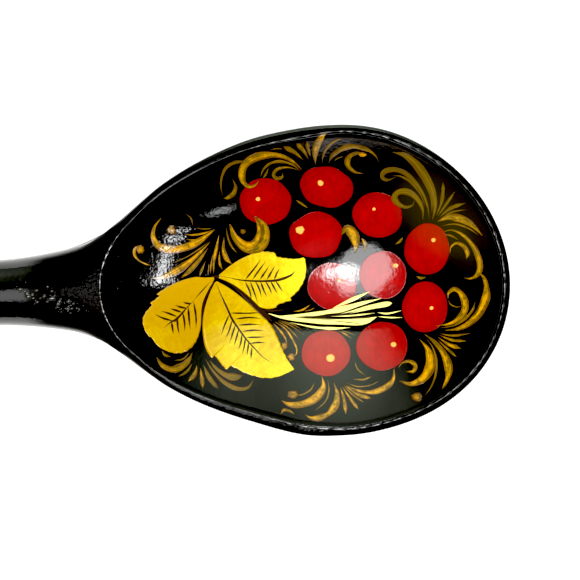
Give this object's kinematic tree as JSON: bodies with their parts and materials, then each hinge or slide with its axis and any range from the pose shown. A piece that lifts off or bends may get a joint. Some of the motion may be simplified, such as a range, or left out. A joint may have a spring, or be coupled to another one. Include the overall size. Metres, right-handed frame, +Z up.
{
  "type": "spoon",
  "caption": "Painted wooden ladle spoon: a deep egg-shaped bowl with berries, a gold leaf and scrolls on black lacquer, and a slim round handle.",
  "frame": {"origin": "centre of the spoon's length and width, on the surface the spoon rests on", "axes": "+X from the handle's end to the bowl's tip, +Y to the left across the bowl as seen from the handle, +Z up out of the bowl"},
  "size_m": [0.1996, 0.0618, 0.0215],
  "materials": {
    "black_lacquer": "black ground under glossy oven-hardened lacquer",
    "clear_lacquer": "built-up glossy lacquer",
    "leaf_gold": "metallic gold paint under glossy lacquer",
    "vein_black": "black brush lines under glossy lacquer",
    "stem_straw": "straw-coloured paint under glossy lacquer",
    "berry_red": "red paint under glossy lacquer",
    "dot_yellow": "pale yellow paint under glossy lacquer",
    "scroll_gold": "old gold brush strokes under glossy lacquer"
  },
  "bodies": {
    "root": {"carved_body": "black_lacquer", "rim_lacquer_bead": "clear_lacquer", "neck_lacquer_lumps": "clear_lacquer", "leaf_left_lobe": "leaf_gold", "leaf_middle_lobe": "leaf_gold", "leaf_right_lobe": "leaf_gold", "leaf_left_veins": "vein_black", "leaf_middle_veins": "vein_black", "leaf_right_veins": "vein_black", "leaf_stalk": "vein_black", "berry_stems": "stem_straw", "berry_stem_lines": "vein_black", "red_berries": "berry_red", "berry_dots": "dot_yellow", "scroll_left": "scroll_gold", "scroll_top_left": "scroll_gold", "scroll_top": "scroll_gold", "scroll_upper_right": "scroll_gold", "scroll_right": "scroll_gold", "scroll_lower_right": "scroll_gold", "scroll_bottom": "scroll_gold", "scroll_lower_left": "scroll_gold", "scroll_curls": "scroll_gold", "scroll_dots": "scroll_gold"}
  },
  "joints": []
}
